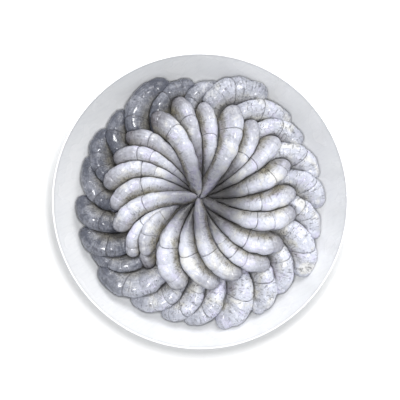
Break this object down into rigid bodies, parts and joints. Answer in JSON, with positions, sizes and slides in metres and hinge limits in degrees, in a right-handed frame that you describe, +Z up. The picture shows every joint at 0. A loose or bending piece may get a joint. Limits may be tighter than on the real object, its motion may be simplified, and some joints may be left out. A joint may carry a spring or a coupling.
{
  "type": "raw peeled shrimps in a bowl",
  "caption": "Raw peeled shrimps laid in a rosette, an inner ring over an outer ring, in a shallow round bowl.",
  "frame": {"origin": "middle of the bowl's foot, on the surface that it stands on", "axes": "+Z up out of the bowl; +Y towards the top of the picture, which looks straight down"},
  "size_m": [0.26, 0.26, 0.0448],
  "materials": {
    "bowl": "glazed white ceramic",
    "flesh": "wet raw flesh"
  },
  "bodies": {
    "root": {"bowl": "bowl", "shrimp_inner_01": "flesh", "shrimp_inner_02": "flesh", "shrimp_inner_03": "flesh", "shrimp_inner_04": "flesh", "shrimp_inner_05": "flesh", "shrimp_inner_06": "flesh", "shrimp_inner_07": "flesh", "shrimp_inner_08": "flesh", "shrimp_inner_09": "flesh", "shrimp_inner_10": "flesh", "shrimp_inner_11": "flesh", "shrimp_inner_12": "flesh", "shrimp_inner_13": "flesh", "shrimp_inner_14": "flesh", "shrimp_inner_15": "flesh", "shrimp_inner_16": "flesh", "shrimp_inner_17": "flesh", "shrimp_inner_18": "flesh", "shrimp_inner_19": "flesh", "shrimp_inner_20": "flesh", "shrimp_inner_21": "flesh", "shrimp_inner_22": "flesh", "shrimp_outer_01": "flesh", "shrimp_outer_02": "flesh", "shrimp_outer_03": "flesh", "shrimp_outer_04": "flesh", "shrimp_outer_05": "flesh", "shrimp_outer_06": "flesh", "shrimp_outer_07": "flesh", "shrimp_outer_08": "flesh", "shrimp_outer_09": "flesh", "shrimp_outer_10": "flesh", "shrimp_outer_11": "flesh", "shrimp_outer_12": "flesh", "shrimp_outer_13": "flesh", "shrimp_outer_14": "flesh", "shrimp_outer_15": "flesh", "shrimp_outer_16": "flesh", "shrimp_outer_17": "flesh", "shrimp_outer_18": "flesh", "shrimp_outer_19": "flesh", "shrimp_outer_20": "flesh", "shrimp_outer_21": "flesh", "shrimp_outer_22": "flesh", "shrimp_outer_23": "flesh"}
  },
  "joints": []
}
